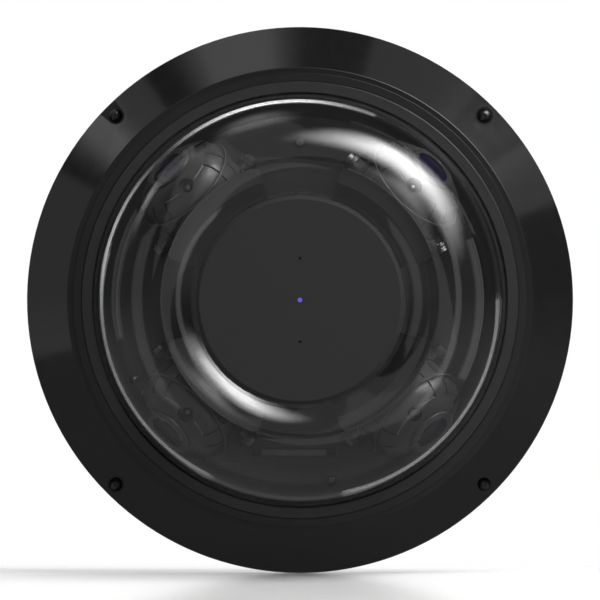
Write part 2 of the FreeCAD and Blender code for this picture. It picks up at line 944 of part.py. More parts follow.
def dome():
    """Clear ring-shaped dome: a raised ring, a pocket for the centre cap and a clamping flange."""
    spring = (dome_crest_radius, dome_spring_z)
    wide = dome_radius - dome_crest_radius
    high = dome_crest_z - dome_spring_z
    inner_radius = dome_radius - dome_wall
    dish_inner = dome_pocket_radius + dome_wall
    flange_outer = dome_radius + dome_flange_width
    dish_centre_z = dome_crest_z - dish_radius
    edges = []
    dish_ends = []
    for depth, foot in ((0, dome_pocket_radius), (dome_wall, dish_inner)):
        edges += oval_quarter(spring, wide, high, dome_tip_radius, depth)
        size = dish_radius - depth
        lean = math.asin((dome_crest_radius - foot) / size)
        inward = point(-math.sin(lean), math.cos(lean))
        edges.append(round_edge(point(dome_crest_radius, dish_centre_z), size, point(0, 1), inward))
        dish_ends.append((foot, dish_centre_z + size * math.cos(lean)))
    edges += polyline(
        dish_ends[0],
        (dome_pocket_radius, dome_pocket_z),
        (dome_hole_radius, dome_pocket_z),
        (dome_hole_radius, dome_pocket_back),
        (dish_inner, dome_pocket_back),
        dish_ends[1],
    )
    edges += polyline(
        (inner_radius, dome_spring_z),
        (inner_radius, dome_flange_back),
        (flange_outer, dome_flange_back),
        (flange_outer, dome_flange_back + dome_flange_thickness),
        (dome_radius, dome_flange_back + dome_flange_thickness),
        (dome_radius, dome_spring_z),
    )
    return spin(edges)


def dome_bezel():
    """Retaining ring that clamps the dome's flange in the cover's bore."""
    inner = dome_radius + bezel_inner_gap
    outer = bore_radius - gap
    return spun_polygon([
        (inner, bezel_back),
        (outer, bezel_back),
        (outer, bezel_front - bezel_edge),
        (outer - bezel_edge, bezel_front),
        (inner + bezel_chamfer, bezel_front),
        (inner, bezel_front - bezel_chamfer),
    ])


def main_board():
    """Round main board on the housing standoffs, cut clear of the deck posts."""
    board = rod(main_board_radius, board_back, board_front)
    cuts = []
    for angle in deck_post_angles:
        x, y = polar(deck_post_circle, angle)
        clear_radius = deck_post_radius + deck_post_clearance
        cuts.append(rod(clear_radius, board_back - beyond, board_front + beyond, x, y))
    tongue_low = slot_top_y - slot_height - beyond
    tongue_high = slot_top_y + beyond
    tongue = block(slot_left_x, slot_right_x, tongue_low, tongue_high, board_back, board_front)
    pad = rod(switch_side, board_back, board_front, 0, switch_place_y)
    return joined([board, tongue, pad]).cut(cuts)


def network_jack():
    """Shielded network socket on the back of the main board, its port facing down."""
    half = jack_width / 2
    low = board_back - jack_height
    start = jack_place_y - jack_length
    body = block(-half, half, start, jack_place_y, low, board_back)
    port_half = jack_port_width / 2
    port_low = low + (jack_height - jack_port_height) / 2
    port_high = port_low + jack_port_height
    port_end = start + jack_port_depth
    port = block(-port_half, port_half, start - beyond, port_end, port_low, port_high)
    return body.cut(port)


def card_holder():
    """Memory card holder on the front of the main board, open at its outer end."""
    half = card_width / 2
    start = card_place_x
    end = start + card_length
    top = board_front + card_height
    body = block(start, end, -half, half, board_front, top)
    mouth_half = half - card_side_wall
    mouth = block(
        start + card_back_wall, end + beyond, -mouth_half, mouth_half,
        board_front + card_floor, top - card_roof
    )
    return body.cut(mouth)


def reset_switch():
    """Body of the push switch with the bore for its plunger."""
    half = switch_side / 2
    top = board_front + switch_height
    y = switch_place_y
    body = block(-half, half, y - half, y + half, board_front, top)
    depth = plunger_depth + plunger_travel + gap
    return body.cut(rod(plunger_radius + running_fit, top - depth, top + beyond, 0, y))


def reset_plunger():
    """Long plunger of the push switch, reached through a hole in the deck."""
    top = board_front + switch_height
    return rod(plunger_radius, top - plunger_depth, deck_front - plunger_recess, 0, switch_place_y)


def hood_line():
    """Outer corners of the hood in profile: shoulder, knee and edge."""
    knee = (hood_knee_radius, hood_edge_z - hood_rise)
    shoulder_z = knee[1] - hood_slope * (hood_knee_radius - carriage_inner_radius)
    return (carriage_inner_radius, shoulder_z), knee, (hood_edge_radius, hood_edge_z)


def shifted(start, end, distance):
    """Ends of a profile line moved square to itself, towards its right-hand side."""
    dr = end[0] - start[0]
    dz = end[1] - start[1]
    size = math.hypot(dr, dz)
    step = (distance * dz / size, -distance * dr / size)
    return (start[0] + step[0], start[1] + step[1]), (end[0] + step[0], end[1] + step[1])


def crossing(a, b, c, d):
    """Where the line through a and b meets the line through c and d."""
    rise = (b[0] - a[0], b[1] - a[1])
    other = (d[0] - c[0], d[1] - c[1])
    size = rise[0] * other[1] - rise[1] * other[0]
    share = ((c[0] - a[0]) * other[1] - (c[1] - a[1]) * other[0]) / size
    return a[0] + share * rise[0], a[1] + share * rise[1]


def carriage_heights():
    """Heights of the channel that grips the T-shaped track."""
    lip_low = deck_front + track_stem_height
    base_low = lip_low + track_lip_height + gap
    return lip_low, base_low, base_low + carriage_base_thickness


def carriage():
    """Pan carriage: a channel on the track, a curved back wall, a hood with cheeks and two pivot arms."""
    lip_low, base_low, base_high = carriage_heights()
    inner = carriage_inner_radius
    wall = inner + carriage_wall
    shoulder, knee, edge = hood_line()
    slope_in = shifted(shoulder, knee, carriage_wall)
    roof_in = shifted(knee, edge, carriage_wall)
    knee_in = crossing(*slope_in, *roof_in)
    shoulder_in = crossing(*slope_in, (wall, 0), (wall, 1))
    lip_in = track_stem_inner - track_lip_overhang - gap
    lip_out = track_stem_outer + track_lip_overhang + gap
    hook_low = lip_low - gap - hook_thickness
    body = spun_polygon([
        shoulder,
        knee,
        edge,
        roof_in[1],
        knee_in,
        shoulder_in,
        (wall, base_high),
        (carriage_base_radius, base_high),
        (carriage_base_radius, base_low),
        (lip_out + channel_wall, base_low),
        (lip_out + channel_wall, hook_low),
        (track_stem_outer + gap, hook_low),
        (track_stem_outer + gap, lip_low - gap),
        (lip_out, lip_low - gap),
        (lip_out, base_low),
        (lip_in, base_low),
        (lip_in, lip_low - gap),
        (track_stem_inner - gap, lip_low - gap),
        (track_stem_inner - gap, hook_low),
        (inner, hook_low),
    ], 2 * carriage_half_angle, -carriage_half_angle)
    cheek_corners = [
        shoulder_in,
        knee_in,
        roof_in[1],
        (hood_edge_radius, pivot_z + cheek_bottom),
        (wall, pivot_z + cheek_bottom),
    ]
    cheeks = [
        spun_polygon(cheek_corners, cheek_angle, -carriage_half_angle),
        spun_polygon(cheek_corners, cheek_angle, carriage_half_angle - cheek_angle),
    ]
    arm = pivot_arm(base_high)
    other_arm = arm.mirror(FreeCAD.Vector(0, 0, 0), FreeCAD.Vector(0, 1, 0))
    return joined([body] + cheeks + [arm, other_arm]).cut(hood_corners())


def hood_corners():
    """Cutters that round the hood's two outer corners, as seen from the front."""
    reach = hood_edge_radius - hood_corner
    share = math.degrees(math.asin(hood_corner / reach))
    low = pivot_z + cheek_bottom - beyond
    high = hood_edge_z + beyond
    inner = math.sqrt(reach ** 2 - hood_corner ** 2)
    outer = hood_edge_radius + beyond
    corner = spun_polygon([(inner, low), (outer, low), (outer, high), (inner, high)], 2 * share)
    cutter = corner.cut(rod(hood_corner, low - beyond, high + beyond, reach))
    other = cutter.mirror(FreeCAD.Vector(0, 0, 0), FreeCAD.Vector(0, 1, 0))
    side = carriage_half_angle - share
    return [turned(cutter, side), turned(other, -side)]


def pivot_arm(foot_z):
    """Upright arm beside the module, with an eye for the pivot pin."""
    inner_face = cradle_boss_reach + gap
    foot = [
        FreeCAD.Vector(arm_foot_inner, inner_face, foot_z - beyond),
        FreeCAD.Vector(arm_foot_outer, inner_face, foot_z - beyond),
        FreeCAD.Vector(pivot_circle + arm_eye_radius, inner_face, pivot_z),
        FreeCAD.Vector(pivot_circle - arm_eye_radius, inner_face, pivot_z),
    ]
    web = Part.Face(Part.makePolygon(foot + foot[:1])).extrude(FreeCAD.Vector(0, arm_thickness, 0))
    along = FreeCAD.Vector(0, 1, 0)
    centre = FreeCAD.Vector(pivot_circle, inner_face, pivot_z)
    eye = Part.makeCylinder(arm_eye_radius, arm_thickness, centre, along)
    hole_start = centre - along * beyond
    hole_length = arm_thickness + 2 * beyond
    hole = Part.makeCylinder(pin_radius + running_fit, hole_length, hole_start, along)
    return joined([web, eye]).cut(hole)


def pivot_pins():
    """Two shouldered pins with their washers, one on each side of the cradle."""
    washer_start = cradle_boss_reach + gap + arm_thickness + gap
    neck_start = washer_start + washer_thickness
    head_start = neck_start + pin_neck_length
    head_end = head_start + pin_head_thickness
    pin = spun_polygon([
        (0, pin_inner_end),
        (pin_radius, pin_inner_end),
        (pin_radius, washer_start),
        (washer_radius, washer_start),
        (washer_radius, neck_start),
        (pin_neck_radius, neck_start),
        (pin_neck_radius, head_start),
        (pin_head_radius, head_start),
        (pin_head_radius, head_end),
        (0, head_end),
    ])
    pins = []
    for side in (-90, 90):
        copy = pin.copy()
        copy.rotate(FreeCAD.Vector(0, 0, 0), FreeCAD.Vector(1, 0, 0), side)
        copy.translate(FreeCAD.Vector(pivot_circle, 0, pivot_z))
        pins.append(copy)
    return Part.makeCompound(pins)


def cradle():
    """Open ring that holds the module by its neck, with a boss for each pivot pin."""
    inner = rear_neck_radius + gap
    outer = inner + cradle_wall
    ring = spun_polygon([
        (inner, -cradle_half_width),
        (outer, -cradle_half_width),
        (outer, cradle_half_width),
        (inner, cradle_half_width),
    ], 360 - 2 * cradle_opening, 180 + cradle_opening)
    along = FreeCAD.Vector(0, 1, 0)
    pieces = [ring]
    boss_start = inner - beyond
    boss_length = cradle_boss_reach - boss_start
    for side in (1, -1):
        start = FreeCAD.Vector(0, side * boss_start, 0)
        pieces.append(Part.makeCylinder(cradle_boss_radius, boss_length, start, along * side))
    body = joined(pieces)
    bore = rod(inner, -cradle_boss_radius - beyond, cradle_boss_radius + beyond)
    hole_end = cradle_boss_reach + beyond
    hole_start = FreeCAD.Vector(0, -hole_end, 0)
    pin_hole = Part.makeCylinder(pin_radius + slip_fit, 2 * hole_end, hole_start, along)
    slab = rod(hole_end + cradle_boss_radius, -cradle_half_width, cradle_half_width)
    return body.cut([bore, pin_hole]).common(slab)


def meridian_seams(low, high, radius):
    """Thin upright cutters at the panel seams, all round a module."""
    seams = []
    for angle in seam_angles:
        for side in (1, -1):
            half = seam_width / 2
            seam = block(radius - seam_depth, radius + beyond, -half, half, low, high)
            seams.append(turned(seam, 180 + side * angle))
    return seams


def rear_shell():
    """Dark cup behind the rim, with the neck that turns in the cradle and a boss ring for the board."""
    neck_half = cradle_half_width + gap
    inside = rear_neck_radius - shell_wall
    collar_back = neck_half + rear_collar_width
    floor = rear_back - shell_wall
    body = spun_polygon([
        (rear_cable_radius, -rear_back),
        (rear_back_radius, -rear_back),
        (rear_collar_radius - rear_collar_bevel, -collar_back - rear_collar_bevel),
        (rear_collar_radius, -collar_back),
        (rear_collar_radius, -neck_half),
        (rear_neck_radius, -neck_half),
        (rear_neck_radius, neck_half),
        (rear_radius, neck_half),
        (rear_radius, rim_back),
        (inside, rim_back),
        (inside, -neck_half),
        (rear_back_radius - shell_wall, -floor),
        (boss_ring_outer, -floor),
        (boss_ring_outer, sensor_board_back),
        (boss_ring_inner, sensor_board_back),
        (boss_ring_inner, -floor),
        (rear_cable_radius, -floor),
    ])
    return body.cut(meridian_seams(neck_half + rear_seam_start, rim_back + beyond, rear_radius))


def recess_frame(shape):
    """Puts a shape drawn about Z at the slanted recess of the front shell."""
    shape.rotate(FreeCAD.Vector(0, 0, 0), FreeCAD.Vector(0, 1, 0), -recess_slant)
    shape.translate(FreeCAD.Vector(-recess_place_radius, 0, recess_place_height))
    return shape


def inset(a, b, c, distance):
    """The three points of a round profile edge, moved towards its centre."""
    centre = arc(a, b, c).Curve.Center
    moved = []
    for radius, height in (a, b, c):
        away = point(radius, height) - centre
        spot = centre + away * ((away.Length - distance) / away.Length)
        moved.append((spot.x, spot.z))
    return moved


def bulged(start, end, bulge):
    """Three points of a round stretch that stands out from its chord by the bulge."""
    chord = point(*end) - point(*start)
    outward = point(chord.z, -chord.x).normalize() * bulge
    middle = (point(*start) + point(*end)) * 0.5 + outward
    return [start, (middle.x, middle.z), end]


def front_outline():
    """The two round stretches of the front shell's outside: panel and nose."""
    step = panel_step * math.sqrt(0.5)
    panel_end = (panel_end_radius, panel_end_height)
    panel = bulged((panel_start_radius, rim_front), panel_end, panel_bulge)
    nose_start = (panel_end_radius - step, panel_end_height - step)
    return panel, bulged(nose_start, (nose_radius, nose_height), nose_bulge)


def front_shell():
    """Rounded cone from the rim to the lens, with raised panels, seams and the screw recess."""
    panel, nose = front_outline()
    panel_in = inset(*panel, shell_wall)
    nose_in = inset(*nose, shell_wall)
    spigot = rear_neck_radius - shell_wall - gap
    opening = barrel_radius + slip_fit
    edges = [arc(*panel), arc(*nose), line(panel[2], nose[0])]
    edges += polyline(
        nose[2],
        (opening, nose_height),
        (opening, nose_in[2][1]),
        nose_in[2],
        *reversed(panel_in),
        (spigot - shell_wall, rim_back),
        (spigot - shell_wall, rim_back - spigot_depth),
        (spigot, rim_back - spigot_depth),
        (spigot, rim_back),
        (rim_radius, rim_back),
        (rim_radius, rim_front),
        (rim_radius - rim_band, rim_front),
        (rim_radius - rim_band, rim_front - rim_groove_depth),
        (panel_start_radius, rim_front - rim_groove_depth),
        panel[0],
    )
    shell = spin(edges)
    filled = [arc(*panel), arc(*nose), line(panel[2], nose[0])]
    filled += polyline(nose[2], (0, nose_height), (0, rim_front), panel[0])
    depth = recess_depth + recess_floor
    cup = recess_frame(rod(recess_radius + shell_wall, -depth, recess_tool_height))
    shell = joined([shell, cup.common(spin(filled))])
    cuts = [recess_frame(rod(recess_radius, -recess_depth, recess_tool_height))]
    cuts.append(recess_frame(rod(lock_screw_radius + slip_fit, -depth - beyond, 0)))
    cuts.append(rod(opening, rim_front, nose_height + beyond))
    cuts += front_seams()
    return shell.cut(cuts)


def front_seams():
    """Shallow grooves across the panels, from the rim to the panel's front edge."""
    panel, nose = front_outline()
    groove_in = inset(*panel, seam_depth)
    groove_out = inset(*panel, -beyond)
    edges = [arc(*groove_in), arc(*groove_out)]
    edges += [line(groove_in[0], groove_out[0]), line(groove_in[2], groove_out[2])]
    outline = face_of(edges)
    seams = []
    for angle in seam_angles:
        for side in (1, -1):
            seam = outline.extrude(FreeCAD.Vector(0, seam_width, 0))
            seam.translate(FreeCAD.Vector(0, -seam_width / 2, 0))
            seams.append(turned(seam, 180 + side * angle))
    return seams


def lock_screw():
    """Domed screw on the floor of the front shell's recess."""
    screw = domed_screw(
        lock_head_radius, lock_head_edge, lock_head_height, lock_screw_radius, recess_floor
    )
    screw.translate(FreeCAD.Vector(0, 0, -recess_depth))
    return recess_frame(screw)


def lens_ring():
    """Bezel of the lens with its barrel, which reaches back to the sensor board."""
    glass_back = lens_ring_front - lens_inset - lens_glass_edge
    seat = lens_glass_radius + slip_fit
    barrel_back = sensor_board_back + sensor_board_thickness
    return spun_polygon([
        (barrel_radius, barrel_back),
        (barrel_radius, nose_height),
        (lens_ring_radius, nose_height),
        (lens_ring_radius, lens_ring_front - lens_ring_edge),
        (lens_ring_radius - lens_ring_lip, lens_ring_front),
        (seat, lens_ring_front - lens_ring_dish),
        (seat, glass_back),
        (seat - lens_shelf, glass_back),
        (seat - lens_shelf, barrel_back),
    ])


def lens_glass():
    """Front glass of the lens, crowned a little."""
    front = lens_ring_front - lens_inset
    back = front - lens_glass_edge
    radius = lens_glass_radius
    crown = front + lens_glass_crown
    profile = [domed_edge(radius, front, crown)]
    profile += polyline((0, crown), (0, back), (radius, back), (radius, front))
    return spin(profile)


def sensor_board():
    """Square image sensor board on the boss ring of the rear shell."""
    half = sensor_board_side / 2
    return block(-half, half, -half, half, sensor_board_back, sensor_board_back + sensor_board_thickness)


def aimed(shape):
    """Puts a piece drawn along the lens axis at the pivot, tilted as at rest."""
    shape.rotate(FreeCAD.Vector(0, 0, 0), FreeCAD.Vector(0, 1, 0), rest_tilt)
    shape.translate(FreeCAD.Vector(pivot_circle, 0, pivot_z))
    return shape


def write(name, shape):
    """Stands a piece up against the wall and writes it."""
    copy = shape.copy()
    copy.rotate(FreeCAD.Vector(0, 0, 0), FreeCAD.Vector(1, 0, 0), 90)
    copy.exportStep("parts/" + name + ".step")


common_pieces = {
    "mounting_plate": mounting_plate,
    "plate_screws": plate_screws,
    "base_housing": base_housing,
    "rear_grommet": rear_grommet,
    "entry_plug": entry_plug,
    "cover_gasket": cover_gasket,
    "cover_ring": cover_ring,
    "cover_screws": cover_screws,
    "dome_gasket": dome_gasket,
    "dome": dome,
    "dome_bezel": dome_bezel,
    "centre_cap": centre_cap,
    "light_pipe": light_pipe,
    "microphones": microphones,
    "front_board": front_board,
    "hub_post": hub_post,
    "deck": deck,
    "deck_screws": deck_screws,
    "deck_connector": deck_connector,
    "main_board": main_board,
    "network_jack": network_jack,
    "card_holder": card_holder,
    "reset_switch": reset_switch,
    "reset_plunger": reset_plunger,
}

module_pieces = {
    "carriage": carriage(),
    "pivot_pins": pivot_pins(),
    "cradle": aimed(cradle()),
    "rear_shell": aimed(rear_shell()),
    "front_shell": aimed(front_shell()),
    "lock_screw": aimed(lock_screw()),
    "lens_ring": aimed(lens_ring()),
    "lens_glass": aimed(lens_glass()),
    "sensor_board": aimed(sensor_board()),
}

os.makedirs("parts", exist_ok=True)

for name, make in common_pieces.items():
    write(name, make())

for place, angle in zip(module_places, module_angles):
    for name, shape in module_pieces.items():
        write(name + "_" + place, turned(shape, angle))
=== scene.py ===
import json
import math

import bpy
from mathutils import Matrix, Vector


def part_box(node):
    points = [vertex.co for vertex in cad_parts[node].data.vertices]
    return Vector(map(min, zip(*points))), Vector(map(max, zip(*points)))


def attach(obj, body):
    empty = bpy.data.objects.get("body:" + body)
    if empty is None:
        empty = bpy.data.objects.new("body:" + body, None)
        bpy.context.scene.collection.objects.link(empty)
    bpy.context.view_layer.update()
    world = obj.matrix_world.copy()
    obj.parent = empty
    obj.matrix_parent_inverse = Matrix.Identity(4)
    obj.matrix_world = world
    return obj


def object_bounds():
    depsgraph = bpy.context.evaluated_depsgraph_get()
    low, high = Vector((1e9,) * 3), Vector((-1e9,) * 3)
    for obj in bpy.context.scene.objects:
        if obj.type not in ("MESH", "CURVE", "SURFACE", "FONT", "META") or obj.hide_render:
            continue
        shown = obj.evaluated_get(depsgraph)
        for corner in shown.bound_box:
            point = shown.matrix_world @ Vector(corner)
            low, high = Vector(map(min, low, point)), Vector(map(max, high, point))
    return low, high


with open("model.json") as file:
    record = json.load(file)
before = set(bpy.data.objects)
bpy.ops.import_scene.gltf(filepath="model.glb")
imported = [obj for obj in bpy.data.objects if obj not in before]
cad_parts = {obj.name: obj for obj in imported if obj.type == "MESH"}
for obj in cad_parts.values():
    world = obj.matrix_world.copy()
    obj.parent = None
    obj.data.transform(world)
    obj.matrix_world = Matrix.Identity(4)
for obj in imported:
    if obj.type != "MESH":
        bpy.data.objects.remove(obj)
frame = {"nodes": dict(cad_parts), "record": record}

# Multi-sensor dome camera: looks. Metres, +Z up, the dome looks along -Y.
cad_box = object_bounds()
nodes = frame["nodes"]
cover_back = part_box("cover_ring")[1].y

# Module axes, as in the solids: azimuth of each, place and height of the pivot, and the lens's tilt at rest
places = {"upper_right": 45.0, "upper_left": 135.0, "lower_left": 225.0, "lower_right": 315.0}
pivot_circle = 0.0588
pivot_height = 0.067
rest_tilt = 64.0

# Beads on the front shells, from the pivot along the lens
bead_sides = 12
rim_steps = 144
rim_bead_circle = 0.0233
rim_bead_height = 0.0142
rim_bead_radius = 0.00028
edge_steps = 20
edge_bead_span = (15.0, 38.5)
edge_bead_circle = 0.01852
edge_bead_height = 0.02112
edge_bead_radius = 0.00024

# Camera: a long lens, square on to the dome, that sees the photo's width at the back of the cover
camera_distance = 9.0
camera_reach = 50.0
photo_width = 0.26374
sensor_width = 36.0

# Noise: the middle range that its values mostly lie in
noise_middle = (0.3, 0.7)

# Moulded surfaces: scale of the wide pattern as a share of the grain's, the grain's detail and strength, and the
# samples of a rounded edge
wide_share = 0.06
grain_detail = 2.0
grain_strength = 0.6
bevel_samples = 6

# Light pipe: scale of its pattern, its darker parts as a share of its colour, and its roughness
pipe_noise = 900.0
pipe_dark = 0.6
pipe_roughness = 0.25

# Floor: its reach, its slope from the back of the cover forward, its finish, and the stretches over which it fades
floor_side = 0.5
floor_front = 0.5
floor_back = 0.5
floor_slope = 4.0
floor_colour = (0.8, 0.8, 0.8)
floor_noise = 6.0
floor_roughness = (0.19, 0.22)
floor_specular = 0.3
floor_fade_side = (0.11, 0.26)
floor_fade_back = (0.06, 0.3)

# Surround: its levels and the heights between which they change, the stretch to the back over which it dims and by
# how much, the edge of the white backdrop straight behind the dome, and the level that lights diffuse surfaces
surround_above = 0.08
surround_below = 0.24
surround_change = (-0.25, 0.05)
surround_back = (0.0, 0.4)
surround_back_share = 0.5
backdrop_edge = 0.8
backdrop_soft = 0.05
ambient_level = 0.25

# Lamps: the place they are aimed at, a lamp's middle in its own coordinates, which run from 0 to 1 across it, and how
# steeply it fades
lamp_aim = Vector((0, -0.07, 0))
lamp_middle = 0.5
lamp_fade_power = 2.0


def grey(level):
    """A colour without a hue."""
    return (level, level, level)


def node_tree(name):
    """A new material with its empty node tree and its output node."""
    mat = bpy.data.materials.new(name)
    mat.use_nodes = True
    tree = mat.node_tree
    tree.nodes.clear()
    out = tree.nodes.new("ShaderNodeOutputMaterial")
    return mat, tree, out


def noise(tree, scale, detail=3.0, roughness=0.55):
    """Noise in object coordinates, where one unit is a metre."""
    coords = tree.nodes.new("ShaderNodeTexCoord")
    tex = tree.nodes.new("ShaderNodeTexNoise")
    tex.inputs["Scale"].default_value = scale
    tex.inputs["Detail"].default_value = detail
    tex.inputs["Roughness"].default_value = roughness
    tree.links.new(coords.outputs["Object"], tex.inputs["Vector"])
    return tex.outputs["Fac"]


def ranged(tree, source, start, end, low, high):
    """The source's stretch from start to end mapped to low and high."""
    step = tree.nodes.new("ShaderNodeMapRange")
    step.inputs["From Min"].default_value = start
    step.inputs["From Max"].default_value = end
    step.inputs["To Min"].default_value = low
    step.inputs["To Max"].default_value = high
    tree.links.new(source, step.inputs["Value"])
    return step.outputs["Result"]


def maths(tree, operation, *sources):
    """The result of an operation on one or two sources, of which the second may be a number."""
    node = tree.nodes.new("ShaderNodeMath")
    node.operation = operation
    for source, socket in zip(sources, node.inputs):
        if isinstance(source, float):
            socket.default_value = source
        else:
            tree.links.new(source, socket)
    return node.outputs[0]


def any_ray(tree, *kinds):
    """One for the kinds of ray that are named, and nothing for all others."""
    path = tree.nodes.new("ShaderNodeLightPath")
    source = path.outputs[kinds[0]]
    for kind in kinds[1:]:
        source = maths(tree, "MAXIMUM", source, path.outputs[kind])
    return source


def mixed_colour(tree, source, dark, light):
    """A colour between dark and light by the source's middle range."""
    ramp = tree.nodes.new("ShaderNodeValToRGB")
    for element, position, colour in zip(ramp.color_ramp.elements, noise_middle, (dark, light)):
        element.position = position
        element.color = (*colour, 1)
    tree.links.new(source, ramp.inputs["Fac"])
    return ramp.outputs["Color"]


def moulded(name, dark, light, rough, grain, height, metallic=0.0, specular=0.5, tint=(1, 1, 1), edge=0.0):
    """A painted, moulded or metal surface with colour variation, uneven gloss and a fine grain.

    An edge over 0 is the radius by which the shading rounds the edges.
    """
    mat, tree, out = node_tree(name)
    shader = tree.nodes.new("ShaderNodeBsdfPrincipled")
    shader.inputs["Metallic"].default_value = metallic
    shader.inputs["Specular IOR Level"].default_value = specular
    shader.inputs["Specular Tint"].default_value = (*tint, 1)
    wide = noise(tree, grain * wide_share)
    tree.links.new(mixed_colour(tree, wide, dark, light), shader.inputs["Base Color"])
    tree.links.new(ranged(tree, wide, *noise_middle, *rough), shader.inputs["Roughness"])
    bump = tree.nodes.new("ShaderNodeBump")
    bump.inputs["Distance"].default_value = height
    bump.inputs["Strength"].default_value = grain_strength
    tree.links.new(noise(tree, grain, grain_detail), bump.inputs["Height"])
    if edge:
        bevel = tree.nodes.new("ShaderNodeBevel")
        bevel.samples = bevel_samples
        bevel.inputs["Radius"].default_value = edge
        tree.links.new(bevel.outputs["Normal"], bump.inputs["Normal"])
    tree.links.new(bump.outputs["Normal"], shader.inputs["Normal"])
    tree.links.new(shader.outputs["BSDF"], out.inputs["Surface"])
    return mat


def clear(name, tint, ior):
    """Clear plastic or glass that lets the lamps' light through."""
    mat, tree, out = node_tree(name)
    shader = tree.nodes.new("ShaderNodeBsdfPrincipled")
    shader.inputs["Base Color"].default_value = (*tint, 1)
    shader.inputs["Roughness"].default_value = 0.0
    shader.inputs["IOR"].default_value = ior
    shader.inputs["Transmission Weight"].default_value = 1.0
    through = tree.nodes.new("ShaderNodeBsdfTransparent")
    through.inputs["Color"].default_value = (*tint, 1)
    mix = tree.nodes.new("ShaderNodeMixShader")
    tree.links.new(any_ray(tree, "Is Shadow Ray"), mix.inputs["Fac"])
    tree.links.new(shader.outputs["BSDF"], mix.inputs[1])
    tree.links.new(through.outputs["BSDF"], mix.inputs[2])
    tree.links.new(mix.outputs["Shader"], out.inputs["Surface"])
    return mat


def glowing(name, colour, strength):
    """A lit light pipe."""
    mat, tree, out = node_tree(name)
    shader = tree.nodes.new("ShaderNodeBsdfPrincipled")
    shader.inputs["Base Color"].default_value = (*colour, 1)
    shader.inputs["Roughness"].default_value = pipe_roughness
    dark = tuple(pipe_dark * c for c in colour)
    tree.links.new(mixed_colour(tree, noise(tree, pipe_noise), dark, colour), shader.inputs["Emission Color"])
    shader.inputs["Emission Strength"].default_value = strength
    tree.links.new(shader.outputs["BSDF"], out.inputs["Surface"])
    return mat


# Name, darkest and lightest colour, range of the roughness, scale of the grain, height of its bumps, and what else
# differs from a plain moulded surface
finishes = (
    ("black_casting", grey(0.005), grey(0.0064), (0.11, 0.14), 2600, 0.000002, {}),
    ("black_trim", grey(0.0115), grey(0.0135), (0.34, 0.4), 3200, 0.000003, {}),
    (
        "black_plastic", (0.0045, 0.0045, 0.0046), (0.0052, 0.0052, 0.0053), (0.28, 0.31), 5200, 0.000002,
        {"specular": 0.35, "edge": 0.0002},
    ),
    ("matte_black", grey(0.0146), grey(0.0163), (0.6, 0.68), 5200, 0.00001, {"specular": 0.25}),
    (
        "module_plastic", (0.0078, 0.0078, 0.008), (0.0086, 0.0086, 0.009), (0.38, 0.41), 5200, 0.000002,
        {"edge": 0.00025},
    ),
    # Painted highlight: the rim bead is coloured several times lighter than the shell plastic, so it shows as a lit
    # line round the rim
    ("rim_bead_painted_highlight", (0.026, 0.026, 0.027), (0.034, 0.034, 0.035), (0.3, 0.36), 3600, 0.000002, {}),
    # Painted highlight: the edge bead is coloured about ten times lighter than the shell plastic, for the bright line
    # where light catches the panel's edge
    ("edge_bead_painted_highlight", (0.08, 0.08, 0.082), (0.1, 0.1, 0.102), (0.3, 0.36), 3600, 0.000002, {}),
    ("lens_metal", (0.012, 0.012, 0.013), (0.018, 0.018, 0.02), (0.3, 0.36), 4000, 0.000003, {"edge": 0.0002}),
    (
        "lens_glass", (0.0015, 0.0012, 0.004), (0.003, 0.002, 0.012), (0.02, 0.04), 300, 0.0,
        {"specular": 0.22, "tint": (0.72, 0.62, 1.0)},
    ),
    ("zinc_steel", (0.42, 0.43, 0.44), (0.56, 0.57, 0.58), (0.26, 0.36), 2400, 0.00001, {"metallic": 1.0}),
    ("black_steel", grey(0.012), grey(0.016), (0.25, 0.32), 3000, 0.00001, {}),
    (
        "dark_steel", (0.08, 0.08, 0.084), (0.1, 0.1, 0.105), (0.22, 0.27), 3000, 0.000003,
        {"metallic": 1.0, "edge": 0.00015},
    ),
    ("black_rubber", grey(0.008), grey(0.013), (0.6, 0.75), 2200, 0.00002, {}),
    ("circuit_board", (0.006, 0.035, 0.018), (0.01, 0.06, 0.03), (0.3, 0.4), 1400, 0.00001, {}),
    ("connector_plastic", grey(0.05), grey(0.07), (0.4, 0.5), 2600, 0.00001, {}),
)
materials = {name: moulded(name, *values, **rest) for name, *values, rest in finishes}
materials["clear_dome"] = clear("clear_dome", (0.985, 0.988, 0.99), 1.5)
materials["status_light"] = glowing("status_light", (0.063, 0.055, 0.29), 0.9)

# Small steel pieces that glint in the dark
glinting = ("lock_screw", "pivot_pins", "deck_screws")


def dress_nodes():
    """Gives every node of the frame the material of its slot, and the small steel pieces one that glints."""
    slots = {part["node"]: part["material_slot"] for part in frame["record"]["subparts"]}
    for name, obj in nodes.items():
        obj.data.materials.clear()
        finish = "dark_steel" if name.startswith(glinting) else slots[name]
        obj.data.materials.append(materials[finish])


def bead(verts, faces, ring, radius, placed, closed):
    """Adds a thin round bead along a ring of places, given as angle, ring radius and height in module axes."""
    first = len(verts)
    for angle, out_radius, height in ring:
        for i in range(bead_sides):
            turn = 2 * math.pi * i / bead_sides
            r = out_radius + radius * math.cos(turn)
            verts.append(placed(r * math.cos(angle), r * math.sin(angle), height + radius * math.sin(turn)))
    steps = len(ring) if closed else len(ring) - 1
    for i in range(steps):
        here = first + i * bead_sides
        after = first + ((i + 1) % len(ring)) * bead_sides
        for j in range(bead_sides):
            k = (j + 1) % bead_sides
            faces.append((here + j, here + k, after + k, after + j))
    if not closed:
        last = first + (len(ring) - 1) * bead_sides
        faces.append(tuple(first + j for j in reversed(range(bead_sides))))
        faces.append(tuple(last + j for j in range(bead_sides)))


